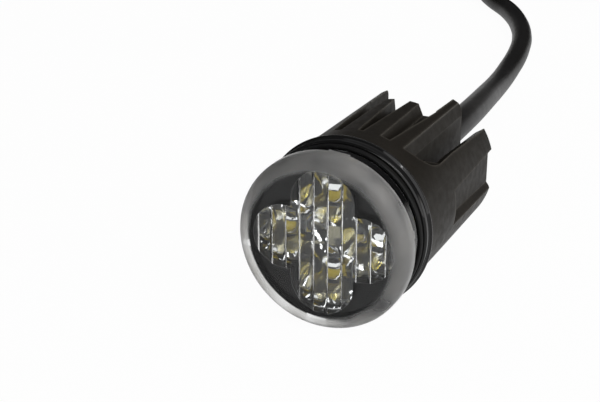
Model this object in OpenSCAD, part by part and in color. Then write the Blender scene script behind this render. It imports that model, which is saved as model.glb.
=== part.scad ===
// Round LED strobe beacon: clear lens with four collimators, finned black housing and a free cable.
// The lamp lies with its axis along Y. The light leaves towards -Y, the cable leaves towards +Y, +Z is up.
// The origin is on the lamp axis, in the plane of the lens flange's rear face.

/* [Lens] */
// How far the lens flange stands out of the neck
flange_w = 1.15; // [0.9:0.05:2]
// Thickness of the lens flange
flange_t = 4.8; // [4.2:0.1:6]
// Rounding of the flange's front edge
front_round = 2.6; // [1:0.1:3]
// Rounding of the flange's rear edge
rear_round = 0.6; // [0.2:0.1:1]
// Radius of the clear neck that sits in the panel hole
neck_r = 15.6; // [15.3:0.05:15.9]
// Length of the neck behind the flange
neck_l = 4.2; // [3:0.1:6]
// Wall of the neck and of its spigot
neck_wall = 1.5; // [1.1:0.1:1.8]
// Plastic left in front of the flutes
window_t = 2.1; // [1.5:0.1:2.6]
// Width of one flute in the window
flute_pitch = 2.75; // [2.2:0.05:3.4]
// Radius of one flute
flute_r = 1.9; // [1.8:0.05:3]
// Height of the nubs behind the flange
nub_h = 0.5; // [0.2:0.1:0.9]

/* [Optics] */
// Share of the neck's inner radius that one lobe of the clover window takes
lobe_share = 0.446; // [0.42:0.002:0.446]
// Gap round the collimators inside the clover
cup_clearance = 0.2; // [0.15:0.05:0.4]
// Depth of one collimator
cup_depth = 8.4; // [7:0.1:10]
// Radius of a collimator's foot
cup_rear_r = 3.05; // [2.8:0.05:3.3]
// Length of that foot
cup_foot_l = 0.6; // [0.4:0.1:1]
// How far a collimator's side bulges past a straight line
cup_bulge = 0.15; // [0:0.05:0.3]
// Radius of the well for the LED in a collimator's rear end
well_r = 1.85; // [1.6:0.05:2.2]
// Depth of that well
well_d = 2.95; // [2.8:0.05:3.2]
// Thickness of the plate that joins the collimators
cup_plate_t = 3.6; // [3:0.1:4.2]
// Distance of the collimators' front behind the flange's front face
cup_front = 4.6; // [3.6:0.1:5.4]
// Gap between the lens flange and the collimators' holder
holder_gap = 0.3; // [0.2:0.05:1]
// Distance of the ledge in the holder behind the collimators' plate
ledge_set = 1.5; // [1.3:0.1:2]
// Side of an LED's ceramic base
led_w = 3.45; // [3:0.05:3.6]
// Thickness of an LED's ceramic base
led_t = 0.7; // [0.5:0.05:1]
// Radius of an LED's dome
dome_r = 1.6; // [1.2:0.05:1.7]

/* [Boards] */
// Thickness of the LED board
board_t = 1.6; // [1:0.1:2]
// Thickness of the thermal pad
pad_t = 0.5; // [0.3:0.05:1]
// Thickness of the driver board
driver_t = 1.2; // [0.8:0.1:1.6]
// Length of the driver board along the lamp
driver_l = 12; // [9:0.5:12.5]
// Radius of the screws' shanks
screw_r = 1; // [0.8:0.05:1.2]
// Radius of the screws' heads
head_r = 1.9; // [1.6:0.05:2.1]
// Height of the screws' heads
head_h = 1.3; // [1:0.1:1.5]

/* [Housing] */
// How far the housing stands out of the neck
body_w = 0.6; // [0.5:0.05:0.8]
// How much smaller that radius is at the rear
draft = 0.1; // [0:0.05:0.4]
// Length of the glossy gasket behind the neck
gasket_l = 1.3; // [1:0.1:2]
// Length of the glossy trim ring
trim_l = 2.5; // [2:0.1:3]
// How far the trim ring stands out of the housing
trim_w = 0.8; // [0.6:0.05:1]
// Length of the smooth collar behind the web's front face
collar_l = 2.3; // [1.4:0.1:4]
// Length of the two long fins behind the core
fork_l = 11; // [8:0.5:14]
// Length of the side wings behind the core
wing_l = 12.1; // [9:0.1:15]
// Thickness of the web between the optics and the driver
web_t = 3.6; // [3:0.1:4]
// Thickness of the side wings
wing_t = 2.5; // [2.2:0.1:2.7]
// Half angle that a side wing covers
wing_angle = 35; // [32:1:38]
// Depth of the grooves between the upper fins
groove_d = 2.8; // [2.2:0.1:3.2]
// Distance of the long fins' inner faces from the middle
fork_in = 7; // [6.95:0.05:7.4]
// Distance of the long fins' outer faces from the middle
fork_out = 9.3; // [9:0.1:9.6]
// Depth of the flat pocket in each side wing
pocket_d = 1.45; // [0.6:0.05:1.5]

/* [Rear] */
// Width of the driver's cavity
cavity_w = 12.4; // [11:0.1:12.8]
// Height of the driver's cavity
cavity_h = 15; // [13:0.1:15.4]
// Length of the driver's cavity
cavity_l = 17.1; // [17:0.1:21]
// Thickness of the back cover
cover_t = 2.4; // [2:0.1:3]
// Thickness of the cover's seal
seal_t = 0.8; // [0.5:0.1:1.2]
// Gap round parts that drop into one another
fit = 0.1; // [0.05:0.01:0.15]

/* [Cable] */
// Diameter of the cable
cable_d = 6.5; // [6:0.1:6.7]
// Length of the gland behind the back cover
gland_l = 10.5; // [8:0.5:14]
// Mean radius of the coil
coil_r = 35; // [34:0.5:36]
// Turns of the coil beside one another, and on top of one another
coil_turns = 3; // [3:1:3]
// Radius of one insulated core
core_r = 0.8; // [0.6:0.05:0.8]
// Width of the coil's tie
tie_w = 10; // [6:0.5:14]
// Thickness of the coil's tie
tie_t = 0.8; // [0.5:0.1:1.2]

/* [Hidden] */
$fn = 96;
eps = 0.01;

// Stations along the lamp, from the front to the rear
front_y = -flange_t;
recess_y = front_y + window_t;
cup_y = front_y + cup_front;
cup_end = cup_y + cup_depth;
board_y = cup_end + led_t + fit;
gasket_y = neck_l;
trim_y = gasket_y + gasket_l;
collar_y = trim_y + trim_l;
pad_y = board_y + board_t;
web_y = pad_y + pad_t;
fin_y = web_y + collar_l;
cavity_y = web_y + web_t;
seal_y = cavity_y + cavity_l;
cover_y = seal_y + seal_t;
core_end = cover_y + cover_t;
fork_end = core_end + fork_l;
wing_end = core_end + wing_l;
far = max(fork_end, wing_end) + 1;

// Radii and heights
neck_in = neck_r - neck_wall - 0.2;
spigot_r = neck_r - 1;
spigot_in = spigot_r - neck_wall + 0.6;
flange_r = neck_r + flange_w;
body_r = neck_r + body_w;
lip_r = body_r - 0.3;
trim_r = body_r + trim_w;
groove_floor = body_r - groove_d;
lobe_r = lobe_share * neck_in;
lobe_offset = neck_in - lobe_r - 0.1;
board_r = spigot_r - 0.4;
cup_r = lobe_r - cup_clearance;
ledge_y = cup_y + cup_plate_t + ledge_set;
cable_r = cable_d / 2;
floor_z = -trim_r;

// Collimator, LED and screw places round the lamp axis
lobe_angles = [90, 180, 0, 270];
screw_offset = board_r - 3.4;
screw_angles = [45, 225];

// A 2-D outline as seen from the front, drawn out between two stations
module along(y0, y1) {
    translate([0, y1, 0]) rotate([90, 0, 0]) linear_extrude(height = y1 - y0) children();
}

// A profile of [radius, station] points turned round the lamp axis
module turned(points) {
    rotate([-90, 0, 0]) rotate_extrude() polygon(points);
}

// A ring between two stations
module ring(y0, y1, r0, r1) {
    turned([[r0, y0], [r1, y0], [r1, y1], [r0, y1]]);
}

// Copies what follows at one place of the clover
module at_lobe(angle) {
    translate([lobe_offset * cos(angle), 0, lobe_offset * sin(angle)]) children();
}

// The clover: four lobes with rounded corners between them
module clover(r) {
    corner = lobe_offset - r + 0.1;
    difference() {
        square(2 * lobe_offset, center = true);
        for (x = [-1, 1], z = [-1, 1]) translate([x * lobe_offset, z * lobe_offset]) circle(r = corner);
    }
    for (angle = lobe_angles)
        translate([lobe_offset * cos(angle), lobe_offset * sin(angle)]) circle(r = r);
}

function arc(cx, cy, r, a0, a1, steps) =
    [for (i = [0:steps]) let (a = a0 + (a1 - a0) * i / steps) [cx + r * cos(a), cy + r * sin(a)]];

module lens_nub(angle, width) {
    rotate([0, -angle, 0])
        translate([neck_r - 0.2, -rear_round, -width / 2])
            cube([flange_r - neck_r, rear_round + nub_h, width]);
}

module lens() {
    rim = concat(
        [[0, front_y]],
        arc(flange_r - front_round, front_y + front_round, front_round, -90, 0, 8),
        arc(flange_r - rear_round, -rear_round, rear_round, 0, 90, 4),
        [[neck_r, 0], [neck_r, neck_l], [spigot_r, neck_l], [spigot_r, board_y], [spigot_in, board_y],
            [spigot_in, neck_l - 1], [neck_in, neck_l - 1.6], [neck_in, 0], [0, 0]]);
    color([0.85, 0.87, 0.88, 0.45]) {
        difference() {
            turned(rim);
            along(recess_y, 1) clover(lobe_r);
        }
        intersection() {
            along(recess_y - 0.3, recess_y + 1) clover(lobe_r + 0.2);
            flutes();
        }
        for (angle = [84, 264]) lens_nub(angle, 4);
        for (angle = [12, 192]) lens_nub(angle, 1.4);
    }
}

// Upright ribs on the inner face of the window
module flutes() {
    count = floor((lobe_offset + lobe_r) / flute_pitch);
    crest = recess_y + 0.05 + flute_r - sqrt(flute_r * flute_r - pow(flute_pitch / 2, 2));
    for (i = [-count:count])
        translate([i * flute_pitch, crest - flute_r, 0])
            cylinder(r = flute_r, h = 2 * flange_r, center = true, $fn = 64);
}

// Radius of a collimator's side at a station
function cup_side(y) =
    let (share = (cup_end - cup_foot_l - y) / (cup_depth - cup_foot_l - cup_plate_t))
    cup_rear_r + (cup_r - 0.15 - cup_rear_r) * share + 4 * cup_bulge * share * (1 - share);

// The side of a collimator from a station down to its foot, with a gap round it
function cup_wall(y, gap, steps) =
    [for (i = [0:steps])
        let (at = y + (cup_end - cup_foot_l - y) * i / steps)
        [cup_side(at) + gap, at]];

// The crown in a well: a hyperboloid that gathers the light which misses the side
function crown(r) =
    let (middle = 0.8, height = 0.69)
    height * (sqrt(1 + pow(r / middle, 2)) - 1);

// One collimator: light from the well goes straight through its crown or is turned forward by its side
module cup() {
    start = cup_y + cup_plate_t;
    rim = well_r - 0.1;
    well = [for (i = [0:5])
        let (r = rim * (5 - i) / 5)
        [r, cup_end - well_d + crown(rim) - crown(r)]];
    turned(concat([[0, start - 0.5], [cup_side(start), start - 0.5]], cup_wall(start, 0, 7),
        [[cup_rear_r, cup_end], [well_r, cup_end]], well));
}

module collimators() {
    color([0.93, 0.95, 0.96, 0.5]) {
        for (angle = lobe_angles) at_lobe(angle) cup();
        along(cup_y, cup_y + cup_plate_t) clover(cup_r);
    }
}

// A black block that carries the collimators: they drop into its clover and stand on a ledge over each LED
module collimator_holder() {
    hole_r = led_w * sqrt(2) / 2 + fit / 2;
    gate = 8;
    color([0.08, 0.08, 0.1]) difference() {
        ring(holder_gap, board_y, 0, spigot_in - 2 * fit);
        along(holder_gap - 1, ledge_y) {
            clover(cup_r + fit);
            square([2 * spigot_r, gate], center = true);
            square([gate, 2 * spigot_r], center = true);
        }
        along(board_y - 0.8, board_y + eps) square(4.4, center = true);
        for (angle = lobe_angles)
            at_lobe(angle) turned(concat(
                [[0, ledge_y - 0.4]], cup_wall(ledge_y - 0.4, fit, 5),
                [[cup_rear_r + fit, cup_end], [hole_r, cup_end], [hole_r, board_y + 1], [0, board_y + 1]]));
        for (angle = screw_angles)
            rotate([0, -angle, 0]) translate([screw_offset, 0, 0])
                ring(board_y - head_h - 0.4, board_y + eps, 0, head_r + fit);
    }
}

module lens_gasket() {
    color([0.05, 0.05, 0.05]) turned([
        [spigot_r + fit / 2, gasket_y], [neck_r + 0.3, gasket_y], [neck_r + 0.5, gasket_y + 0.3],
        [neck_r + 0.5, trim_y - 0.3], [neck_r + 0.3, trim_y], [spigot_r + fit / 2, trim_y]]);
}

// A ring with a bead at its rear edge, which is the widest place of the lamp
module trim_ring() {
    color([0.06, 0.06, 0.06]) turned([
        [lip_r + fit / 2, trim_y], [trim_r - 0.7, trim_y], [trim_r - 0.4, trim_y + 0.3],
        [trim_r - 0.4, collar_y - 0.95], [trim_r, collar_y - 0.6],
        [trim_r, collar_y - 0.25], [trim_r - 0.3, collar_y], [lip_r + fit / 2, collar_y]]);
}

// A solid with four corners at each of two stations; matching sides are parallel, so its faces are flat
module loft(y0, front, y1, back) {
    polyhedron(
        points = concat([for (p = front) [p[0], y0, p[1]]], [for (p = back) [p[0], y1, p[1]]]),
        faces = [[3, 2, 1, 0], [4, 5, 6, 7], [0, 1, 5, 4], [1, 2, 6, 5], [2, 3, 7, 6], [3, 0, 4, 7]]);
}

// Cuts the groove between two fins: it has sloping sides and widens to the rear
module groove(x0, x1, half0, half1, lean) {
    rise = body_r + 0.5 - groove_floor;
    section = function (x, half) [
        [x - half, groove_floor], [x + half, groove_floor],
        [x + half + lean * rise, groove_floor + rise], [x - half - lean * rise, groove_floor + rise]];
    loft(fin_y + 0.4, section(x0, half0), core_end + 0.5, section(x1, half1));
}

// The three grooves between the four upper fins
module grooves() {
    groove(0, 0, 0.15, 1.35, 0.12);
    for (side = [0, 1]) mirror([side, 0, 0]) groove(5, 5.6, 0.05, 1.1, 0.43);
}

// The deep corner scoop between a long fin and a side wing
module scoop() {
    wing_in = body_r - wing_t;
    edge_x = body_r * cos(wing_angle);
    edge_z = body_r * sin(wing_angle);
    reach = (body_r + 1) / body_r;
    lip = 7.5;
    web_half = 3.2;
    intersection() {
        along(fin_y, far) polygon([
            [fork_out - 0.9, body_r + 1], [fork_out - 0.9, body_r - 2.8], [fork_out, body_r - 5],
            [fork_out, fork_out * tan(wing_angle)], [edge_x * reach, edge_z * reach],
            [body_r + 1, body_r + 1]]);
        translate([body_r + 2, 0, 0]) rotate([0, -90, 0]) linear_extrude(height = body_r + 2) difference() {
            translate([0, fin_y]) square([body_r + 2, far - fin_y]);
            difference() {
                translate([-eps, fin_y - eps]) square([edge_z + lip, lip]);
                translate([edge_z + lip, fin_y + lip]) circle(r = lip);
            }
        }
    }
    along(fin_y + 4, far) intersection() {
        translate([fork_out, web_half]) square([body_r, edge_z + 1 - web_half]);
        circle(r = wing_in);
    }
    wing_slope(edge_x, edge_z);
}

// Takes the wing's upper edge down a little towards the rear
module wing_slope(edge_x, edge_z) {
    fall = 0.057;
    start = core_end - 9;
    lean = tan(wing_angle - 2);
    section = function (z) [
        [edge_x - 3.5, z - 3.5 * lean], [edge_x + 4, z + 4 * lean],
        [edge_x + 4, edge_z + 6], [edge_x - 3.5, edge_z + 6]];
    loft(start, section(edge_z + 0.1), far, section(edge_z + 0.1 - fall * (far - start)));
}

// The shallow pocket in a side wing, with sloping ledges, open at the rear
module pocket() {
    in_x = body_r - draft - pocket_d;
    rise = body_r + 1 - in_x;
    lean = 1.35;
    section = function (half) [
        [in_x, -half], [in_x + rise, -half - lean * rise], [in_x + rise, half + lean * rise], [in_x, half]];
    loft(fin_y + 9.6, section(2.1), far, section(3.2));
}

// What is taken away behind the core: all but the long fins and the side wings
module tail_space() {
    translate([0, 0, -body_r - 1]) linear_extrude(height = 2 * body_r + 2) polygon([
        [-fork_in, core_end], [fork_in, core_end], [fork_in + 0.3, far], [-fork_in - 0.3, far]]);
    along(core_end, far) difference() {
        circle(r = body_r - wing_t);
        square([2 * fork_out, 2 * body_r + 2], center = true);
    }
    along(fork_end, far) square([2 * fork_out + 0.2, 2 * body_r + 2], center = true);
}

// Rounds the long fins' rear ends, towards the outside and towards the wings
module fork_rounding() {
    tip = 1.2;
    out_r = body_r - draft;
    intersection() {
        difference() {
            ring(fork_end - tip, fork_end + 1, out_r - tip, out_r + 1);
            turned(concat([[out_r - tip - 1, fork_end - tip - 1], [out_r, fork_end - tip - 1]],
                arc(out_r - tip, fork_end - tip, tip, 0, 90, 4),
                [[out_r - tip - 1, fork_end]]));
        }
        along(fork_end - tip - 1, fork_end + 1) square([2 * fork_out + 0.2, 2 * body_r + 2], center = true);
    }
    for (side = [0, 1]) mirror([side, 0, 0])
        translate([0, 0, -body_r]) linear_extrude(height = 2 * body_r) difference() {
            translate([fork_out - tip, fork_end - tip]) square(tip + 0.1);
            translate([fork_out - tip, fork_end - tip]) circle(r = tip);
        }
}

module rounded_slot(w, h, r) {
    square([w, h - 2 * r], center = true);
    square([w - 2 * r, h], center = true);
    for (x = [-1, 1], z = [-1, 1]) translate([x * (w / 2 - r), z * (h / 2 - r)]) circle(r = r, $fn = 32);
}

cover_w = cavity_w + 1;
cover_h = cavity_h + 7;
cover_screw_z = cavity_h / 2 + 1.9;

module housing() {
    tip = 0.6;
    shell = concat(
        [[0, web_y], [spigot_r + fit, web_y], [spigot_r + fit, trim_y], [lip_r, trim_y],
            [lip_r, collar_y], [body_r - 0.3, collar_y], [body_r, collar_y + 0.3], [body_r, fin_y]],
        arc(body_r - draft - tip, wing_end - tip, tip, 0, 90, 4),
        [[0, wing_end]]);
    color([0.13, 0.125, 0.12]) difference() {
        turned(shell);
        for (up = [0, 1]) mirror([0, 0, up]) {
            grooves();
            for (side = [0, 1]) mirror([side, 0, 0]) scoop();
        }
        for (side = [0, 1]) mirror([side, 0, 0]) pocket();
        tail_space();
        fork_rounding();
        along(cavity_y, core_end + eps) rounded_slot(cavity_w, cavity_h, 1.2);
        along(seal_y, core_end + eps) rounded_slot(cover_w + 2 * fit, cover_h + 2 * fit, 1.4);
        along(web_y - eps, cavity_y + eps) square([4, 7], center = true);
        for (angle = screw_angles)
            rotate([0, -angle, 0]) translate([screw_offset, 0, 0]) ring(web_y - eps, web_y + 2.6, 0, screw_r);
        for (z = [-1, 1])
            translate([0, 0, z * cover_screw_z]) ring(seal_y - 5, seal_y + eps, 0, screw_r);
    }
}

module led_board() {
    color([0.1, 0.1, 0.11]) difference() {
        ring(board_y, pad_y, 0, board_r);
        for (angle = screw_angles)
            rotate([0, -angle, 0]) translate([screw_offset, 0, 0])
                ring(board_y - eps, pad_y + eps, 0, screw_r + fit);
        for (x = [-1, 1], z = [-1, 1])
            translate([x * 1.27, 0, z * 1.27]) ring(board_y - eps, pad_y + eps, 0, 0.4);
    }
}

module thermal_pad() {
    color([0.62, 0.66, 0.72]) difference() {
        ring(pad_y, web_y, 0, board_r - 0.3);
        along(pad_y - eps, web_y + eps) square([4, 7], center = true);
        for (angle = screw_angles)
            rotate([0, -angle, 0]) translate([screw_offset, 0, 0])
                ring(pad_y - eps, web_y + eps, 0, screw_r + fit);
    }
}

// A ceramic base with its corner cut off, as LEDs of this size have
module led(angle) {
    half = led_w / 2;
    color([0.86, 0.86, 0.84]) at_lobe(angle) along(board_y - led_t, board_y) polygon([
        [-half, -half], [half, -half], [half, half - 0.5], [half - 0.5, half], [-half, half]]);
}

// The dome with yellow phosphor that sits on the base
module phosphor(angle) {
    color([0.86, 0.72, 0.12]) at_lobe(angle) turned(concat(
        [[0, board_y - led_t]],
        arc(0, board_y - led_t, dome_r, 0, -90, 8)));
}

// A pan-head screw with a cross recess, its head towards the front
module front_screw(shank) {
    difference() {
        turned([[0, -head_h], [head_r - 0.5, -head_h], [head_r, -head_h + 0.5], [head_r, 0],
            [screw_r - fit, 0], [screw_r - fit, shank], [0, shank]]);
        for (turn = [0, 90])
            rotate([0, turn, 0]) translate([-head_r * 0.6, -head_h - eps, -0.2])
                cube([head_r * 1.2, 0.6, 0.4]);
    }
}

module board_screws() {
    color([0.75, 0.75, 0.73]) for (angle = screw_angles)
        rotate([0, -angle, 0]) translate([screw_offset, board_y, 0])
            front_screw(board_t + pad_t + 2.2);
}

driver_y = cavity_y + 0.6;
driver_half = cavity_h / 2 - 0.4;

module driver_board() {
    color([0.1, 0.35, 0.2]) translate([-driver_t / 2, driver_y, -driver_half])
        cube([driver_t, driver_l, 2 * driver_half]);
}

// Four pins that join the LED board to the driver board through the web
module link_pins() {
    color([0.8, 0.7, 0.35]) {
        for (x = [-1, 1], z = [-1, 1])
            translate([x * 1.27, 0, z * 1.27]) ring(board_y - 0.4, driver_y + 1.4, 0, 0.35);
        for (x = [-1, 1])
            translate([x * (driver_t / 2 + 0.35) - 0.35, driver_y + 0.6, -1.6]) cube([0.7, 1, 3.2]);
    }
}

module inductor() {
    color([0.25, 0.24, 0.23]) translate([driver_t / 2, driver_y + 3.2, -4.9]) difference() {
        cube([3.4, 5.6, 5.6]);
        for (y = [0, 5.6]) translate([1.7, y, 2.8]) cylinder(r = 0.7, h = 7, center = true);
    }
}

module capacitors() {
    color([0.72, 0.6, 0.42]) for (i = [0:2])
        translate([driver_t / 2, driver_y + 1.2 + 3.4 * i, driver_half - 3.7]) cube([1.6, 2.4, 3.2]);
}

module driver_chip() {
    color([0.09, 0.09, 0.09]) translate([-driver_t / 2 - 1.5, driver_y + 5.6, -4.8]) difference() {
        cube([1.5, 5, 4]);
        translate([0, 0.7, 3.3]) rotate([0, -90, 0]) cylinder(r = 0.3, h = 0.4, center = true);
    }
}

module control_chip() {
    color([0.1, 0.1, 0.1]) translate([-driver_t / 2 - 1, driver_y + 4.2, 1.4]) difference() {
        cube([1, 4, 4]);
        translate([0, 0.7, 3.3]) rotate([0, -90, 0]) cylinder(r = 0.3, h = 0.4, center = true);
    }
}

module resistors() {
    color([0.16, 0.16, 0.17]) for (i = [0:2])
        translate([-driver_t / 2 - 0.6, driver_y + 9, 0.4 + 2.3 * i]) cube([0.6, 2, 1.25]);
}

module input_diode() {
    color([0.12, 0.12, 0.12]) translate([driver_t / 2, driver_y + 9.2, 0.5 - driver_half])
        cube([2.2, 2.6, 4.3]);
}

jacket_y = seal_y - 1.4;

// The four cores between the cable's jacket and the end of the driver board
module core_leads() {
    color([0.7, 0.15, 0.12]) for (i = [0:3])
        translate([0, 0, (i - 1.5) * 1.45]) ring(driver_y + driver_l, jacket_y, 0, 0.6);
}

module cover_seal() {
    color([0.12, 0.12, 0.12]) along(seal_y, cover_y) difference() {
        rounded_slot(cover_w, cover_h, 1.4);
        rounded_slot(cavity_w, cavity_h, 1.2);
        for (z = [-1, 1]) translate([0, z * cover_screw_z]) circle(r = screw_r + fit);
    }
}

gland_r = cable_r + 1.1;

module back_cover() {
    color([0.12, 0.12, 0.12]) along(cover_y, core_end) difference() {
        rounded_slot(cover_w, cover_h, 1.4);
        circle(r = gland_r + fit / 2);
        for (z = [-1, 1]) translate([0, z * cover_screw_z]) circle(r = screw_r + fit);
    }
}

module cover_screws() {
    color([0.2, 0.2, 0.2]) for (z = [-1, 1])
        translate([0, core_end, z * cover_screw_z]) rotate([180, 0, 0]) front_screw(cover_t + seal_t + 3.4);
}

// Rubber gland: a collar inside the cover, a neck through it and a ribbed taper behind it
module cable_gland() {
    bore = cable_r + 0.05;
    tip_r = cable_r + 0.9;
    root_r = gland_r + 1.2;
    ribs = 4;
    rib = (gland_l - 3) / ribs;
    taper = [for (i = [0:ribs - 1]) for (k = [0, 1, 2, 3])
        let (r = root_r + (tip_r - root_r) * (i + 1) / ribs)
        [k == 1 || k == 2 ? r - 0.45 : r, core_end + 2 + rib * (i + [0, 0.1, 0.4, 0.5][k])]];
    color([0.07, 0.07, 0.07]) turned(concat(
        [[bore, jacket_y + 0.4], [gland_r + 0.7, jacket_y + 0.4], [gland_r + 0.7, cover_y],
            [gland_r, cover_y], [gland_r, core_end], [root_r, core_end], [root_r, core_end + 2]],
        taper,
        [[tip_r, core_end + gland_l], [bore, core_end + gland_l]]));
}

// The cable's route, chosen by hand: out of the gland, down to the floor, back and to the left
cord_z = floor_z + cable_r;
route = [
    [0, jacket_y, 0], [0, 36, 0], [0, 47, 0], [-0.1, 58, -0.1], [-0.6, 69, -0.6],
    [-1.6, 80, -1.6], [-3.1, 91, -3.1], [-4.9, 102, -4.8], [-6.9, 113, -6.7], [-9, 124, -8.7],
    [-11, 135, -10.6], [-12.9, 146, -12.2], [-14.6, 157, -13.3], [-16, 167, cord_z], [-17.4, 178, cord_z],
    [-19.4, 190, cord_z], [-22.3, 203, cord_z], [-26.4, 216, cord_z], [-31.8, 229, cord_z],
    [-38.8, 242, cord_z], [-47.6, 254.5, cord_z], [-53.55, 264.02, cord_z + 0.1],
    [-58.07, 274.29, cord_z + 0.3], [-61.49, 284.99, cord_z + 0.5], [-64.11, 295.91, cord_z + 0.6],
    [-67.02, 309.6, cord_z + 0.6], [-69.94, 323.3, cord_z + 0.6]];

function unit(v) = v / norm(v);
function route_way(i) =
    unit(route[min(i + 1, len(route) - 1)] - route[max(i - 1, 0)]);
function ring_at(i, r, sides) =
    let (way = route_way(i), across = unit(cross(way, [0, 0, 1])), over = cross(across, way))
    [for (k = [0:sides - 1]) route[i] + r * (across * cos(360 * k / sides) + over * sin(360 * k / sides))];

module cord_run() {
    sides = 10;
    n = len(route);
    rings = [for (i = [0:n - 1]) each ring_at(i, cable_r, sides)];
    skin = [for (i = [0:n - 2], k = [0:sides - 1]) let (a = i * sides + k, b = i * sides + (k + 1) % sides)
        [a, b, b + sides, a + sides]];
    start_cap = [for (k = [0:sides - 1]) sides - 1 - k];
    end_cap = [for (k = [0:sides - 1]) (n - 1) * sides + k];
    color([0.08, 0.08, 0.08]) polyhedron(points = rings, faces = concat([start_cap], skin, [end_cap]));
}

// The coil lies past the end of the route, on its tie
coil_half = coil_turns * cable_d / 2;
coil_x = -29;
coil_y = 332;
coil_z = floor_z + tie_t;

// The run's end lies in a groove of the coil's outermost turn
module cord_coil() {
    last = route[len(route) - 1];
    before = route[len(route) - 2];
    way = unit(last - before);
    turn = atan2(way[1], way[0]);
    color([0.08, 0.08, 0.08]) difference() {
        translate([coil_x, coil_y, coil_z + coil_half]) rotate_extrude() translate([coil_r, 0]) {
            square([2 * coil_half, 2 * (coil_half - cable_r)], center = true);
            square([2 * (coil_half - cable_r), 2 * coil_half], center = true);
            for (x = [-1, 1], z = [-1, 1])
                translate([x, z] * (coil_half - cable_r)) circle(r = cable_r, $fn = 32);
        }
        translate(last) rotate([0, 0, turn]) rotate([0, -90, 0])
            cylinder(r = cable_r + 0.1, h = 2 * norm(last - before));
    }
}

// A flat strap round the coil's section
module coil_tie() {
    inner = 2 * coil_half + 0.1;
    color([0.14, 0.14, 0.14]) translate([coil_x, coil_y, 0]) rotate([0, 0, -75]) intersection() {
        translate([0, 0, coil_z + coil_half]) rotate_extrude() translate([coil_r, 0]) difference() {
            square(inner + 2 * tie_t - 0.1, center = true);
            square(inner, center = true);
        }
        translate([coil_r - coil_half - 5, -tie_w / 2, floor_z - 1])
            cube([2 * coil_half + 10, tie_w, 2 * coil_half + 10]);
    }
}

// The stripped cores at the cable's far end, side by side on top of the coil
module cord_tails() {
    tail_l = 30;
    color([0.6, 0.1, 0.1]) for (i = [0:3])
        translate([coil_x + coil_r - 3 + 2.4 * (i - 1.5), coil_y + 6 - tail_l,
            coil_z + 2 * coil_half + core_r])
            rotate([-90, 0, 0]) cylinder(r = core_r, h = tail_l, $fn = 24);
}

lens();
lens_gasket();
trim_ring();
housing();
collimators();
collimator_holder();
led_board();
led(lobe_angles[0]);  // led_top
led(lobe_angles[1]);  // led_left
led(lobe_angles[2]);  // led_right
led(lobe_angles[3]);  // led_bottom
phosphor(lobe_angles[0]);  // phosphor_top
phosphor(lobe_angles[1]);  // phosphor_left
phosphor(lobe_angles[2]);  // phosphor_right
phosphor(lobe_angles[3]);  // phosphor_bottom
board_screws();
thermal_pad();
driver_board();
link_pins();
inductor();
capacitors();
driver_chip();
control_chip();
resistors();
input_diode();
core_leads();
cover_seal();
back_cover();
cover_screws();
cable_gland();
cord_run();
cord_coil();
coil_tie();
cord_tails();
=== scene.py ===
"""Round LED strobe beacon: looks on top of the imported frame.

All lengths are in metres and all places are in the row frame: the lamp's axis lies along Y, the
light leaves towards -Y, the cable leaves towards +Y, and +Z is up.
"""
import math

import bpy
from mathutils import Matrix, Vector


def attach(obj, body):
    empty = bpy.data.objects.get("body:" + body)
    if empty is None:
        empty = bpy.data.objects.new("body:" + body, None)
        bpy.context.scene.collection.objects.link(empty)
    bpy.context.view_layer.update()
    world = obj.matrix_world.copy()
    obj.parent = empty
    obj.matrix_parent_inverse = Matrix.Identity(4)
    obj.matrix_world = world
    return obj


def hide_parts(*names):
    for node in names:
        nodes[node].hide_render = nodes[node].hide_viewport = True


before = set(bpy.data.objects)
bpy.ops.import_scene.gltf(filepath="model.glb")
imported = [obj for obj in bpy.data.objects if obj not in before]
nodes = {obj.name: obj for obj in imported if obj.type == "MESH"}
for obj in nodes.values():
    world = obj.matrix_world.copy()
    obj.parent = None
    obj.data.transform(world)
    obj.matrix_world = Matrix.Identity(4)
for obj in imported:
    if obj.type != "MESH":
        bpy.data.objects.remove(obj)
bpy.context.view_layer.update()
scene = bpy.context.scene
scene.view_settings.view_transform = "Standard"

UP = Vector((0, 0, 1))

# Camera, solved from the outlines of the lens flange and the trim ring in the photograph
CAMERA_TURN = math.radians(25.552)
CAMERA_RISE = math.radians(21.958)
CAMERA_PLACE = (0.08456, -0.18917, 0.09056)
FOCAL_LENGTH_MM = 75.0
SENSOR_WIDTH_MM = 36.0
NEAR_LIMIT = 0.01

camera_data = bpy.data.cameras.new("camera")
camera_data.lens = FOCAL_LENGTH_MM
camera_data.sensor_width = SENSOR_WIDTH_MM
camera_data.clip_start = NEAR_LIMIT
camera = bpy.data.objects.new("camera", camera_data)
camera.location = CAMERA_PLACE
camera.rotation_euler = (math.pi / 2 - CAMERA_RISE, 0.0, CAMERA_TURN)
scene.collection.objects.link(camera)
scene.camera = camera

# Cable: its diameter, where it leaves the gland, and its route in millimetres, as in part.scad
D = 0.0065
FLOOR = -0.017
CORD_Z = FLOOR + D / 2
MM = 1000
ROUTE = [
    (0, 31, 0), (0, 36, 0), (0, 47, 0), (-0.1, 58, -0.1), (-0.6, 69, -0.6), (-1.6, 80, -1.6),
    (-3.1, 91, -3.1), (-4.9, 102, -4.8), (-6.9, 113, -6.7), (-9, 124, -8.7), (-11, 135, -10.6),
    (-12.9, 146, -12.2), (-14.6, 157, -13.3), (-16, 167, -13.75), (-17.4, 178, -13.75),
    (-19.4, 190, -13.75), (-22.3, 203, -13.75), (-26.4, 216, -13.75), (-31.8, 229, -13.75),
    (-38.8, 242, -13.75), (-47.6, 254.5, -13.75), (-53.55, 264.02, -13.65),
    (-58.07, 274.29, -13.45), (-61.49, 284.99, -13.25), (-64.11, 295.91, -13.15),
    (-67.02, 309.6, -13.15), (-69.94, 323.3, -13.15)]
ROUTE_STEPS = 8
CABLE_SHOWN = 0.995  # share of the radius that is drawn
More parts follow.
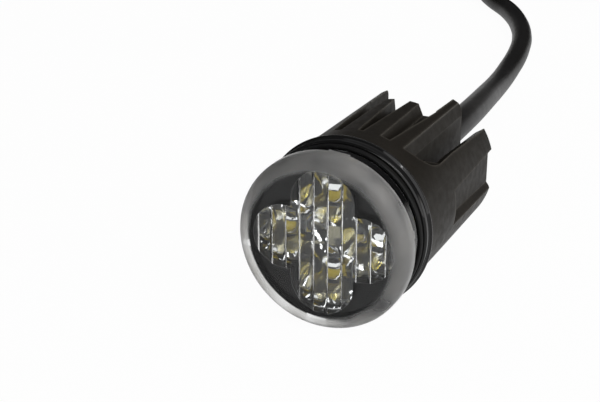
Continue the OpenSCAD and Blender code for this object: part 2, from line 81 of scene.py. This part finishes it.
CABLE_ROUNDNESS = 6

# Coil: its middle, mean radius and underside, and the place of each turn (beside, above)
COIL = Vector((-0.029, 0.332, 0.0))
COIL_R = 0.035
COIL_Z = FLOOR + 0.0008
COIL_LAYERS = 3
COIL_PLACES = [(1, 0), (0, 0), (-1, 0), (-1, 1), (0, 1), (1, 1), (1, 2), (0, 2), (-1, 2)]
COIL_PITCH = 0.985  # distance of turns beside one another, in diameters
COIL_END_DEGREES = 12
STEPS_PER_TURN = 40

# Stripped cores at the cable's far end
CORE_COUNT = 4
CORE_R = 0.0008
CORE_SIDES = 12
CORE_STEPS = 5
CORE_START = 0.003  # how deep in the jacket they start
CORE_STAGGER = 0.0006  # how far every other core lies higher there
CORE_PITCH_INSIDE = 0.0012
CORE_OUT = 0.004  # where they are clear of the jacket
CORE_PITCH_OUT = 0.0018
CORE_OUT_DROP = 0.0016
CORE_PITCH = 0.0024  # where they lie on the coil
CORE_INSET = 0.003  # their middle, inwards of the coil's mean radius
CORE_TURN_AHEAD, CORE_TURN, CORE_TURN_SHARE = 0.010, 0.010, 0.6
CORE_STRAIGHT, CORE_TIP = 0.018, 0.0285
BARE_LENGTH = 0.0026
BARE_SHARE = 0.62  # the copper's share of the core's radius
BARE_SLOT = 4  # slots 0 to 3 are the insulation's colours


def smooth(points, per_span):
    """A centripetal Catmull-Rom line through the points."""
    p = [Vector(q) for q in points]
    p = [p[0] * 2 - p[1]] + p + [p[-1] * 2 - p[-2]]
    out = []
    for i in range(1, len(p) - 2):
        a, b, c, d = p[i - 1:i + 3]
        t0 = 0.0
        t1 = t0 + math.sqrt((b - a).length)
        t2 = t1 + math.sqrt((c - b).length)
        t3 = t2 + math.sqrt((d - c).length)
        for k in range(per_span):
            t = t1 + (t2 - t1) * k / per_span
            a1 = a * ((t1 - t) / (t1 - t0)) + b * ((t - t0) / (t1 - t0))
            a2 = b * ((t2 - t) / (t2 - t1)) + c * ((t - t1) / (t2 - t1))
            a3 = c * ((t3 - t) / (t3 - t2)) + d * ((t - t2) / (t3 - t2))
            b1 = a1 * ((t2 - t) / (t2 - t0)) + a2 * ((t - t0) / (t2 - t0))
            b2 = a2 * ((t3 - t) / (t3 - t1)) + a3 * ((t - t1) / (t3 - t1))
            out.append(b1 * ((t2 - t) / (t2 - t1)) + b2 * ((t - t1) / (t2 - t1)))
    out.append(p[-2])
    return out


def coil_line():
    """Clockwise turns in nine places, three beside one another in three layers.

    A turn keeps its place for its first half and moves to the next one over its second half.
    Where turns climb to the next layer, they cut up to 2 mm into their neighbours.
    """
    start = math.atan2(ROUTE[-1][1] / MM - COIL.y, ROUTE[-1][0] / MM - COIL.x)
    last = len(COIL_PLACES) - 1
    turns = last + ((math.degrees(start) % 360) - COIL_END_DEGREES) / 360
    steps = int(turns * STEPS_PER_TURN)
    out = []
    for k in range(1, steps + 1):
        t = turns * k / steps
        here = min(int(t), last)
        following = min(here + 1, last)
        move = max(0.0, 2.0 * (t - here) - 1.0)
        move = move * move * (3 - 2 * move)
        beside, above = (a + (b - a) * move
                         for a, b in zip(COIL_PLACES[here], COIL_PLACES[following]))
        r = COIL_R + beside * D * COIL_PITCH
        angle = start - 2 * math.pi * t
        z = COIL_Z + D * 0.5 + above * D
        out.append(Vector((COIL.x + r * math.cos(angle), COIL.y + r * math.sin(angle), z)))
    return out


def length_of(points):
    return sum((b - a).length for a, b in zip(points, points[1:]))


def tube_curve(name, points, radius, resolution):
    curve = bpy.data.curves.new(name, "CURVE")
    curve.dimensions = "3D"
    curve.bevel_depth = radius
    curve.bevel_resolution = resolution
    curve.use_fill_caps = True
    spline = curve.splines.new("POLY")
    spline.points.add(len(points) - 1)
    for point, co in zip(spline.points, points):
        point.co = (*co, 1.0)
    spline.use_smooth = True
    obj = bpy.data.objects.new(name, curve)
    scene.collection.objects.link(obj)
    return obj


def core_line(index, end, way):
    """One core, from inside the jacket up onto the coil and then straight beside the others.

    Their order in the jacket is the reverse of that on the coil, so they cross just past it.
    """
    side = way.cross(UP)
    place = index - (CORE_COUNT - 1) / 2
    top = COIL_Z + COIL_LAYERS * D + CORE_R
    stagger = Vector((0, 0, CORE_STAGGER if index % 2 else -CORE_STAGGER))
    inside = end - way * CORE_START + side * place * CORE_PITCH_INSIDE + stagger
    out = end + way * CORE_OUT + side * place * CORE_PITCH_OUT
    out.z = top - CORE_OUT_DROP
    x = COIL.x + COIL_R - CORE_INSET + CORE_PITCH * place
    turn_x = x * CORE_TURN_SHARE + (end.x + way.x * CORE_TURN_AHEAD) * (1 - CORE_TURN_SHARE)
    turn = Vector((turn_x, end.y - CORE_TURN, top))
    straight = Vector((x, end.y - CORE_STRAIGHT, top))
    tip = Vector((x, end.y - CORE_TIP, top))
    return smooth([inside, out, turn, straight, tip], CORE_STEPS)


def mesh_object(name, verts, faces):
    mesh = bpy.data.meshes.new(name)
    mesh.from_pydata([tuple(v) for v in verts], [], faces)
    mesh.update()
    for poly in mesh.polygons:
        poly.use_smooth = True
    obj = bpy.data.objects.new(name, mesh)
    scene.collection.objects.link(obj)
    return obj


def cores_mesh(name, lines):
    """Insulated cores as one mesh. Each has its own slot, and their bare ends share the last."""
    verts, faces, slots = [], [], []
    for index, points in enumerate(lines):
        count = len(points)
        total = length_of(points)
        base = len(verts)
        gone = 0.0
        for i, p in enumerate(points):
            if i:
                gone += (p - points[i - 1]).length
            w = (points[min(i + 1, count - 1)] - points[max(i - 1, 0)]).normalized()
            u = w.cross(UP).normalized()
            v = u.cross(w)
            r = CORE_R if total - gone > BARE_LENGTH else CORE_R * BARE_SHARE
            for k in range(CORE_SIDES):
                a = 2 * math.pi * k / CORE_SIDES
                verts.append(p + r * (u * math.cos(a) + v * math.sin(a)))
        for i in range(count - 1):
            for k in range(CORE_SIDES):
                a = base + i * CORE_SIDES + k
                b = base + i * CORE_SIDES + (k + 1) % CORE_SIDES
                faces.append((a, b, b + CORE_SIDES, a + CORE_SIDES))
                slots.append(BARE_SLOT if i >= count - 3 else index)
        faces.append([base + k for k in reversed(range(CORE_SIDES))])
        slots.append(index)
        faces.append([base + (count - 1) * CORE_SIDES + k for k in range(CORE_SIDES)])
        slots.append(BARE_SLOT)
    obj = mesh_object(name, verts, faces)
    for poly, slot in zip(obj.data.polygons, slots):
        poly.material_index = slot
    return obj


run = smooth([[c / MM for c in p] for p in ROUTE], ROUTE_STEPS)
for p in run:
    p.z = max(p.z, CORD_Z)  # the smooth line would dip a little under its lowest points
line = run + coil_line()
cable = tube_curve("cable", line, D / 2 * CABLE_SHOWN, CABLE_ROUNDNESS)

end_way = (line[-1] - line[-2]).normalized()
tails_obj = cores_mesh("core_tails", [core_line(i, line[-1], end_way) for i in range(CORE_COUNT)])


# Shader building blocks. Each adds its nodes to a tree and gives back the socket to use.


def new_material(name):
    material = bpy.data.materials.new(name)
    material.use_nodes = True
    tree = material.node_tree
    return material, tree, tree.nodes["Principled BSDF"]


def coords(tree):
    return tree.nodes.new("ShaderNodeTexCoord").outputs["Object"]


def split(tree, vector):
    n = tree.nodes.new("ShaderNodeSeparateXYZ")
    tree.links.new(vector, n.inputs[0])
    return n


def noise(tree, vector, scale, detail=3.0):
    n = tree.nodes.new("ShaderNodeTexNoise")
    n.inputs["Scale"].default_value = scale
    n.inputs["Detail"].default_value = detail
    n.inputs["Roughness"].default_value = 0.5
    tree.links.new(vector, n.inputs["Vector"])
    return n.outputs["Fac"]


def span(tree, value, low, high, out_low, out_high):
    """Maps low..high to out_low..out_high, and keeps what lies outside at the nearer end."""
    n = tree.nodes.new("ShaderNodeMapRange")
    n.inputs["From Min"].default_value = low
    n.inputs["From Max"].default_value = high
    n.inputs["To Min"].default_value = out_low
    n.inputs["To Max"].default_value = out_high
    tree.links.new(value, n.inputs["Value"])
    return n.outputs["Result"]


def uneven(tree, vector, scale, detail, out_low, out_high):
    """A noise that wanders between two values, with most of its range used."""
    return span(tree, noise(tree, vector, scale, detail), 0.3, 0.7, out_low, out_high)


def fill(tree, socket, value):
    """Puts a number, a vector or another node's output into a socket."""
    if isinstance(value, (int, float, tuple)):
        socket.default_value = value
    else:
        tree.links.new(value, socket)


def mix_color(tree, factor, a, b):
    n = tree.nodes.new("ShaderNodeMix")
    n.data_type = "RGBA"
    fill(tree, n.inputs["Factor"], factor)
    for socket, value in zip([s for s in n.inputs if s.type == "RGBA"], (a, b)):
        fill(tree, socket, (*value, 1.0) if isinstance(value, tuple) else value)
    return [s for s in n.outputs if s.type == "RGBA"][0]


def math_node(tree, operation, a, b=0.0):
    n = tree.nodes.new("ShaderNodeMath")
    n.operation = operation
    for socket, value in zip(n.inputs, (a, b)):
        fill(tree, socket, value)
    return n.outputs[0]


def product(tree, a, b):
    return math_node(tree, "MULTIPLY", a, b)


def vector_node(tree, operation, a, b=None, scale=None):
    n = tree.nodes.new("ShaderNodeVectorMath")
    n.operation = operation
    fill(tree, n.inputs[0], a)
    if b is not None:
        fill(tree, n.inputs[1], b)
    if scale is not None:
        tree.links.new(scale, n.inputs["Scale"])
    return n.outputs["Value" if operation == "DOT_PRODUCT" else "Vector"]


def bump(tree, bsdf, height, strength, distance=0.0001):
    n = tree.nodes.new("ShaderNodeBump")
    n.inputs["Strength"].default_value = strength
    n.inputs["Distance"].default_value = distance
    tree.links.new(height, n.inputs["Height"])
    tree.links.new(n.outputs["Normal"], bsdf.inputs["Normal"])
    return n


# Painted edge highlights: how far from an edge the lighter colour reaches, and the cosines of the
# turn of the rounded normal at which the painted highlight starts and is full
EDGE_HIGHLIGHT_RADIUS = 0.0007
EDGE_HIGHLIGHT_SAMPLES = 6
HIGHLIGHT_START, HIGHLIGHT_FULL = 0.992, 0.93


def painted_edge_highlight(tree):
    """1 at an edge of the surface, where a lighter colour is painted as an edge highlight, and 0
    away from it.
    """
    rounded = tree.nodes.new("ShaderNodeBevel")
    rounded.samples = EDGE_HIGHLIGHT_SAMPLES
    rounded.inputs["Radius"].default_value = EDGE_HIGHLIGHT_RADIUS
    plain = tree.nodes.new("ShaderNodeNewGeometry").outputs["True Normal"]
    agreement = vector_node(tree, "DOT_PRODUCT", rounded.outputs["Normal"], plain)
    return span(tree, agreement, HIGHLIGHT_START, HIGHLIGHT_FULL, 0.0, 1.0)


def surface(name, color, rough, vary=0.12, grain=3000.0, grain_strength=0.15, rough_vary=0.06,
            metallic=0.0, specular=0.5, patch=120.0, edge=None):
    """A moulded, coated or metal surface: patchy colour, uneven roughness, fine grain and, where
    edge is given, a painted highlight along its edges.
    """
    material, tree, bsdf = new_material(name)
    c = coords(tree)
    low = tuple(v * (1 - vary) for v in color)
    high = tuple(min(1.0, v * (1 + vary)) for v in color)
    shade = mix_color(tree, uneven(tree, c, patch, 4.0, 0.0, 1.0), low, high)
    # edge is the colour of a painted highlight laid along the surface's edges
    if edge:
        shade = mix_color(tree, painted_edge_highlight(tree), shade, edge)
    tree.links.new(shade, bsdf.inputs["Base Color"])
    roughness = uneven(tree, c, patch * 5, 3.0, rough - rough_vary, rough + rough_vary)
    tree.links.new(roughness, bsdf.inputs["Roughness"])
    bsdf.inputs["Metallic"].default_value = metallic
    bsdf.inputs["Specular IOR Level"].default_value = specular
    bump(tree, bsdf, noise(tree, c, grain, 2.0), grain_strength)
    return material


# The housing's coat is painted lighter along its edges: painted edge highlights
cast = surface("black_cast_coat", (0.0120, 0.0102, 0.0080), 0.45, vary=0.18, grain=5200.0,
               grain_strength=0.12, specular=0.06, edge=(0.045, 0.041, 0.034))
cover_coat = surface("black_cover_coat", (0.011, 0.0098, 0.0082), 0.45, vary=0.15, grain=5200.0,
                     grain_strength=0.12, specular=0.06)
rubber = surface("black_rubber", (0.008, 0.008, 0.008), 0.38, grain=4000.0, grain_strength=0.08,
                 specular=0.08)
gloss = surface("black_gloss_ring", (0.005, 0.005, 0.005), 0.07, vary=0.1, grain=900.0,
                grain_strength=0.02, rough_vary=0.02, specular=0.22)
mask = surface("black_board_mask", (0.014, 0.015, 0.016), 0.35, vary=0.2, grain_strength=0.05,
               specular=0.3)
steel = surface("plated_steel", (0.62, 0.61, 0.58), 0.32, vary=0.06, grain=4000.0,
                grain_strength=0.05, rough_vary=0.05, metallic=1.0)
dark_steel = surface("oxide_steel", (0.07, 0.07, 0.07), 0.38, vary=0.1, grain=4000.0,
                     grain_strength=0.08, rough_vary=0.05, metallic=1.0)
pad_grey = surface("thermal_pad_grey", (0.36, 0.42, 0.48), 0.7, vary=0.06, grain_strength=0.2)
green = surface("board_green", (0.02, 0.17, 0.06), 0.38, grain_strength=0.06)
brass = surface("tinned_brass", (0.75, 0.62, 0.34), 0.3, vary=0.06, grain=4000.0,
                grain_strength=0.03, rough_vary=0.05, metallic=1.0)
ferrite = surface("ferrite", (0.09, 0.085, 0.08), 0.6, grain=5000.0, grain_strength=0.25)
tan = surface("ceramic_tan", (0.42, 0.27, 0.14), 0.45, vary=0.06, grain=4000.0,
              grain_strength=0.06)
chip = surface("chip_black", (0.02, 0.02, 0.021), 0.5, vary=0.1, grain=6000.0)
jacket = surface("cable_jacket", (0.0068, 0.0064, 0.0062), 0.36, vary=0.14, grain=2600.0,
                 grain_strength=0.07, rough_vary=0.02, specular=0.055, patch=60.0)
CORE_COLORS = {"red": (0.55, 0.02, 0.015), "black": (0.02, 0.02, 0.02),
               "yellow": (0.75, 0.52, 0.02), "blue": (0.02, 0.10, 0.42)}
core_colors = [surface("core_" + name, color, 0.35, vary=0.06, grain_strength=0.04)
               for name, color in CORE_COLORS.items()]
copper = surface("stranded_copper", (0.72, 0.36, 0.20), 0.32, vary=0.1, grain=6000.0,
                 grain_strength=0.4, rough_vary=0.05, metallic=1.0)


def woven(name):
    """Hook and loop strap: a fine weave with a fabric sheen."""
    material, tree, bsdf = new_material(name)
    c = coords(tree)
    threads = []
    for direction in ("X", "Z"):
        wave = tree.nodes.new("ShaderNodeTexWave")
        wave.bands_direction = direction
        wave.inputs["Scale"].default_value = 900.0
        tree.links.new(c, wave.inputs["Vector"])
        threads.append(wave.outputs["Fac"])
    weave = product(tree, *threads)
    shade = mix_color(tree, weave, (0.012, 0.012, 0.013), (0.05, 0.05, 0.052))
    tree.links.new(shade, bsdf.inputs["Base Color"])
    bsdf.inputs["Roughness"].default_value = 0.85
    bsdf.inputs["Sheen Weight"].default_value = 0.3
    bump(tree, bsdf, weave, strength=0.6, distance=0.0002)
    return material


def phosphor_material(name):
    """Yellow phosphor under clear silicone. Its faint glow is painted light, which stands in for
    its strong yellow.
    """
    material, tree, bsdf = new_material(name)
    c = coords(tree)
    tone = uneven(tree, c, 900.0, 3.0, 0.0, 1.0)
    shade = mix_color(tree, tone, (0.46, 0.36, 0.010), (0.60, 0.48, 0.02))
    tree.links.new(shade, bsdf.inputs["Base Color"])
    bsdf.inputs["Roughness"].default_value = 0.35
    bsdf.inputs["Coat Weight"].default_value = 0.6
    # Painted glow: the phosphor gives off a faint light of its own
    bsdf.inputs["Emission Color"].default_value = (0.62, 0.46, 0.0, 1)
    bsdf.inputs["Emission Strength"].default_value = 0.3
    bump(tree, bsdf, noise(tree, c, scale=4000.0), strength=0.05)
    return material


# Places in the CAD that the materials of lens, holder and LEDs need
LOBE_OFFSET = 0.0076  # from the lamp's axis to the middle of a lobe of the clover
LOBE_R = 0.0062
NECK_IN = 0.0139  # inner radius of the lens's neck
WINDOW_Y = -0.0027  # rear of the lens's window
LED_Y = 0.0083  # front of the LEDs' ceramic bases
# The olive deep in the holder's bores is a painted reflection of the phosphor's yellow
BORE_Y, BORE_DEEP_Y = 0.0038, 0.0054  # where the holder's bores start and end turning olive

# The lens's rim is hazy from HAZE_R outwards, and clear again behind the flange
HAZE_R, HAZE_FULL_R = 0.0136, 0.0146
HAZE_Y, HAZE_END_Y = 0.0002, 0.0004
HAZE_ROUGH = 0.36
HAZE_SHARE = 0.23  # how much of the rim's light the haze scatters
FLAT_ROUGH = 0.08  # roughness outside the clover
POLISHED_ROUGH = 0.015
EASE = 0.58  # how far the window's shading normals lean towards the lamp's axis

# Distances over which one look turns into the next
HAIR = 0.00004
STEP = 0.0001


def clover_distance(tree, xyz):
    """How far a point is from the middle line of the nearest lobe of the clover."""
    x = math_node(tree, "ABSOLUTE", xyz.outputs["X"])
    z = math_node(tree, "ABSOLUTE", xyz.outputs["Z"])
    outwards = math_node(tree, "MAXIMUM", x, z)
    beyond = math_node(tree, "MAXIMUM", math_node(tree, "SUBTRACT", outwards, LOBE_OFFSET))
    across = math_node(tree, "MINIMUM", x, z)
    squares = math_node(tree, "ADD", product(tree, beyond, beyond), product(tree, across, across))
    return math_node(tree, "SQRT", squares)


def distance_from_axis(tree, xyz):
    squares = [product(tree, xyz.outputs[name], xyz.outputs[name]) for name in "XZ"]
    return math_node(tree, "SQRT", math_node(tree, "ADD", *squares))


def eased_normal(tree, amount):
    """The shading normal, leaned towards the axis: flutes and facets then bend light less."""
    axis = (0.0, 1.0, 0.0)
    normal = tree.nodes.new("ShaderNodeNewGeometry").outputs["Normal"]
    along = math_node(tree, "SIGN", vector_node(tree, "DOT_PRODUCT", normal, axis))
    lean = vector_node(tree, "SCALE", axis, scale=product(tree, along, amount))
    return vector_node(tree, "NORMALIZE", vector_node(tree, "ADD", normal, lean))


def lens_material(name):
    """Clear polycarbonate: polished over the clover, hazy on the rim, painted black behind the rim
    as shade of the dark interior.
    """
    material, tree, bsdf = new_material(name)
    c = coords(tree)
    xyz = split(tree, c)
    y = xyz.outputs["Y"]
    radius = distance_from_axis(tree, xyz)
    outside = span(tree, clover_distance(tree, xyz), LOBE_R - 2 * HAIR, LOBE_R - HAIR, 0.0, 1.0)

    # Painted shade: the rear face of the rim and the wall of the clover's recess are made opaque
    # black, standing in for the dark interior seen through them
    inner = span(tree, radius, NECK_IN + HAIR / 2, NECK_IN + HAIR, 1.0, 0.0)
    behind = span(tree, y, WINDOW_Y, WINDOW_Y + STEP, 0.0, 1.0)
    ahead = span(tree, y, STEP / 2, STEP, 1.0, 0.0)
    shade_mask = product(tree, product(tree, outside, inner), product(tree, behind, ahead))

    haze = product(tree, span(tree, radius, HAZE_R, HAZE_FULL_R, 0.0, 1.0),
                   span(tree, y, HAZE_Y, HAZE_END_Y, 1.0, 0.0))
    clouds = noise(tree, c, scale=150.0, detail=2.0)
    cloud = span(tree, clouds, 0.25, 0.75, 0.35, 1.25)
    haze = product(tree, haze, cloud)
    milky = mix_color(tree, haze, (0.93, 0.94, 0.94), (0.62, 0.61, 0.59))
    # painted shade: near-black and opaque where shade_mask is 1
    tree.links.new(mix_color(tree, shade_mask, milky, (0.006, 0.006, 0.006)),
                   bsdf.inputs["Base Color"])

    opaque = math_node(tree, "ADD", shade_mask, product(tree, haze, HAZE_SHARE))
    tree.links.new(math_node(tree, "SUBTRACT", 1.0, opaque), bsdf.inputs["Transmission Weight"])
    rough = math_node(tree, "ADD", product(tree, haze, HAZE_ROUGH),
                      product(tree, outside, FLAT_ROUGH))
    tree.links.new(math_node(tree, "ADD", rough, POLISHED_ROUGH), bsdf.inputs["Roughness"])
    bsdf.inputs["IOR"].default_value = 1.5
    bsdf.inputs["Specular Tint"].default_value = (0.4, 0.4, 0.4, 1)

    window = product(tree, math_node(tree, "SUBTRACT", 1.0, outside),
                     span(tree, y, WINDOW_Y - 2 * STEP, WINDOW_Y - STEP, 0.0, EASE))
    waves = bump(tree, bsdf, noise(tree, c, scale=420.0, detail=2.0), strength=0.5, distance=0.0002)
    tree.links.new(span(tree, window, 0.0, EASE, 0.03, 0.5), waves.inputs["Strength"])
    tree.links.new(eased_normal(tree, window), waves.inputs["Normal"])
    return material


def holder_material(name):
    """Black moulding whose bores round the collimators are plated bright, with a painted olive
    reflection of the phosphor's yellow deep inside.
    """
    material, tree, bsdf = new_material(name)
    c = coords(tree)
    xyz = split(tree, c)
    plated = span(tree, clover_distance(tree, xyz), LOBE_R - STEP / 2, LOBE_R, 1.0, 0.0)
    deep = span(tree, xyz.outputs["Y"], BORE_Y, BORE_DEEP_Y, 0.0, 1.0)
    # Deep in the bores the plating turns olive: painted reflection of the yellow phosphor
    plating_and_painted_yellow = mix_color(tree, deep, (0.52, 0.52, 0.53), (0.155, 0.12, 0.001))
    tree.links.new(mix_color(tree, plated, (0.010, 0.010, 0.011), plating_and_painted_yellow),
                   bsdf.inputs["Base Color"])
    tree.links.new(plated, bsdf.inputs["Metallic"])
    tree.links.new(span(tree, plated, 0.0, 1.0, 0.4, 0.12), bsdf.inputs["Roughness"])
    bump(tree, bsdf, noise(tree, c, scale=600.0, detail=2.0), strength=0.25)
    return material


def ceramic_material(name):
    """LED base: white ceramic with phosphor on its front face."""
    material, tree, bsdf = new_material(name)
    c = coords(tree)
    front = span(tree, split(tree, c).outputs["Y"], LED_Y + HAIR / 2, LED_Y + STEP / 2, 1.0, 0.0)
    tree.links.new(mix_color(tree, front, (0.80, 0.80, 0.77), (0.52, 0.41, 0.015)),
                   bsdf.inputs["Base Color"])
    tree.links.new(uneven(tree, c, 900.0, 3.0, 0.35, 0.5), bsdf.inputs["Roughness"])
    return material


def clear_material(name):
    """Polished acrylic with the faintest waves."""
    material, tree, bsdf = new_material(name)
    bsdf.inputs["Base Color"].default_value = (0.97, 0.98, 0.98, 1)
    bsdf.inputs["Transmission Weight"].default_value = 1.0
    bsdf.inputs["IOR"].default_value = 1.49
    bsdf.inputs["Roughness"].default_value = 0.0
    bump(tree, bsdf, noise(tree, coords(tree), scale=300.0), strength=0.01)
    return material


holder_black = holder_material("black_holder")
ceramic = ceramic_material("led_ceramic")
phosphor = phosphor_material("phosphor_gold")
lens_clear = lens_material("clear_polycarbonate")
acrylic = clear_material("clear_acrylic")
strap = woven("woven_strap")

DRESS = {
    "lens": lens_clear, "lens_gasket": rubber, "trim_ring": gloss, "housing": cast,
    "collimators": acrylic, "collimator_holder": holder_black, "led_board": mask,
    "led_top": ceramic, "led_left": ceramic, "led_right": ceramic, "led_bottom": ceramic,
    "phosphor_top": phosphor, "phosphor_left": phosphor, "phosphor_right": phosphor,
    "phosphor_bottom": phosphor, "board_screws": steel, "thermal_pad": pad_grey,
    "driver_board": green, "link_pins": brass, "inductor": ferrite, "capacitors": tan,
    "driver_chip": chip, "control_chip": chip, "resistors": chip, "input_diode": chip,
    "core_leads": core_colors[0], "cover_seal": rubber, "back_cover": cover_coat,
    "cover_screws": dark_steel, "cable_gland": rubber, "cord_run": jacket, "cord_coil": jacket,
    "coil_tie": strap, "cord_tails": core_colors[0]}
for name, material in DRESS.items():
    mesh = nodes[name].data
    mesh.materials.clear()
    mesh.materials.append(material)

# Edges: nodes with rounded edges and the width of the rounding, and the limits in degrees
BEVELS = {"housing": 0.00045, "back_cover": 0.0002, "trim_ring": 0.00012}
BEVEL_SEGMENTS = 3
SHARP_DEGREES = 28
BEVEL_DEGREES = 32
FLAT_DEGREES = 0.6
WELD_DISTANCE = 2e-6
WEIGHT_OF_LARGE_FACES = 100


def soft_shading(limit):
    """A geometry node group that shades faces smooth and keeps edges over the limit sharp."""
    group = bpy.data.node_groups.new("soft_shading_%d" % limit, "GeometryNodeTree")
    for direction in ("INPUT", "OUTPUT"):
        group.interface.new_socket("Geometry", in_out=direction,
                                   socket_type="NodeSocketGeometry")
    start = group.nodes.new("NodeGroupInput")
    end = group.nodes.new("NodeGroupOutput")
    faces = group.nodes.new("GeometryNodeSetShadeSmooth")
    faces.domain = "FACE"
    edges = group.nodes.new("GeometryNodeSetShadeSmooth")
    edges.domain = "EDGE"
    angle = group.nodes.new("GeometryNodeInputMeshEdgeAngle")
    sharp = group.nodes.new("FunctionNodeCompare")
    sharp.operation = "GREATER_THAN"
    sharp.inputs[1].default_value = math.radians(limit)
    group.links.new(start.outputs[0], faces.inputs["Geometry"])
    group.links.new(faces.outputs[0], edges.inputs["Geometry"])
    group.links.new(angle.outputs["Unsigned Angle"], sharp.inputs[0])
    group.links.new(sharp.outputs[0], edges.inputs["Selection"])
    edges.inputs["Shade Smooth"].default_value = False
    group.links.new(edges.outputs[0], end.inputs[0])
    return group


def finish_edges(obj, shading, bevel):
    """Joins the CAD faces, rounds the sharp edges a little and shades curved faces smooth."""
    weld = obj.modifiers.new("weld", "WELD")
    weld.merge_threshold = WELD_DISTANCE
    if bevel:
        flat = obj.modifiers.new("flat", "DECIMATE")
        flat.decimate_type = "DISSOLVE"
        flat.angle_limit = math.radians(FLAT_DEGREES)
        edge = obj.modifiers.new("edge", "BEVEL")
        edge.width = bevel
        edge.segments = BEVEL_SEGMENTS
        edge.limit_method = "ANGLE"
        edge.angle_limit = math.radians(BEVEL_DEGREES)
        edge.harden_normals = False
        edge.use_clamp_overlap = True
    soft = obj.modifiers.new("soft", "NODES")
    soft.node_group = shading
    if bevel:
        weighted = obj.modifiers.new("weighted", "WEIGHTED_NORMAL")
        weighted.keep_sharp = True
        weighted.weight = WEIGHT_OF_LARGE_FACES


shading = soft_shading(SHARP_DEGREES)
for name in DRESS:
    finish_edges(nodes[name], shading, BEVELS.get(name, 0.0))

cable.data.materials.append(jacket)
for material in core_colors + [copper]:
    tails_obj.data.materials.append(material)

# Joining the frame
for piece in (cable, tails_obj):
    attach(piece, "root")
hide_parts("cord_run", "cord_coil")
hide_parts("cord_tails")

# Floor: a pale grey that takes the light and the shadow, shown as white to camera and glass
FLOOR_HALF = 9
FLOOR_ALBEDO = 0.72
WHITE_SHARE = 0.97

corners = [(x * FLOOR_HALF, y * FLOOR_HALF, FLOOR) for x, y in ((-1, -1), (1, -1), (1, 1), (-1, 1))]
floor = mesh_object("floor", corners, [(0, 1, 2, 3)])
pale, tree, bsdf = new_material("pale_floor")
bsdf.inputs["Base Color"].default_value = (FLOOR_ALBEDO, FLOOR_ALBEDO, FLOOR_ALBEDO, 1)
bsdf.inputs["Roughness"].default_value = 0.9
bsdf.inputs["Specular IOR Level"].default_value = 0.0
white = tree.nodes.new("ShaderNodeEmission")
white.inputs["Strength"].default_value = 1.0
rays = tree.nodes.new("ShaderNodeLightPath").outputs
through = math_node(tree, "MAXIMUM", rays["Is Glossy Ray"], rays["Is Transmission Ray"])
seen = math_node(tree, "MAXIMUM", rays["Is Camera Ray"], through)
both = tree.nodes.new("ShaderNodeMixShader")
tree.links.new(product(tree, seen, WHITE_SHARE), both.inputs[0])
tree.links.new(bsdf.outputs[0], both.inputs[1])
tree.links.new(white.outputs[0], both.inputs[2])
tree.links.new(both.outputs[0], tree.nodes["Material Output"].inputs["Surface"])
floor.data.materials.append(pale)

# World: bright at the horizon and below, dark just above it, a little lighter overhead
WORLD_RAMP = [(0.0, (0.9, 0.88, 0.85, 1)), (0.8, (0.12, 0.12, 0.125, 1)),
              (0.12, (0.08, 0.08, 0.08, 1))]

world = bpy.data.worlds.new("studio")
scene.world = world
world.use_nodes = True
tree = world.node_tree
background = tree.nodes["Background"]
height = split(tree, tree.nodes.new("ShaderNodeTexCoord").outputs["Generated"]).outputs["Z"]
ramp = tree.nodes.new("ShaderNodeValToRGB")
elements = ramp.color_ramp.elements
for index, (position, color) in enumerate(WORLD_RAMP):
    element = elements[index] if index < 2 else elements.new(position)
    element.position = position
    element.color = color
tree.links.new(height, ramp.inputs[0])
tree.links.new(ramp.outputs[0], background.inputs["Color"])
background.inputs["Strength"].default_value = 1.0

# Lamps: name, place, the point it looks at, its size and its power in watts
LAMPS = [
    ("top", (0.1, 0.55, 1.1), (0, 0.05, 0), (1.3, 1.0), 2.6),
    ("key", (0.94, -0.42, 0.62), (0, 0.02, 0), (1.7, 1.7), 23.0),
    ("edge", (0.45, -0.75, 0.95), (0, 0.01, 0), (1.2, 0.03), 2.6)]
for name, place, target, size, power in LAMPS:
    data = bpy.data.lights.new(name, "AREA")
    data.shape = "RECTANGLE"
    data.size, data.size_y = size
    data.energy = power
    lamp = bpy.data.objects.new(name, data)
    lamp.location = place
    away = (Vector(place) - Vector(target)).normalized()
    lamp.rotation_euler = away.to_track_quat("Z", "Y").to_euler()
    scene.collection.objects.link(lamp)
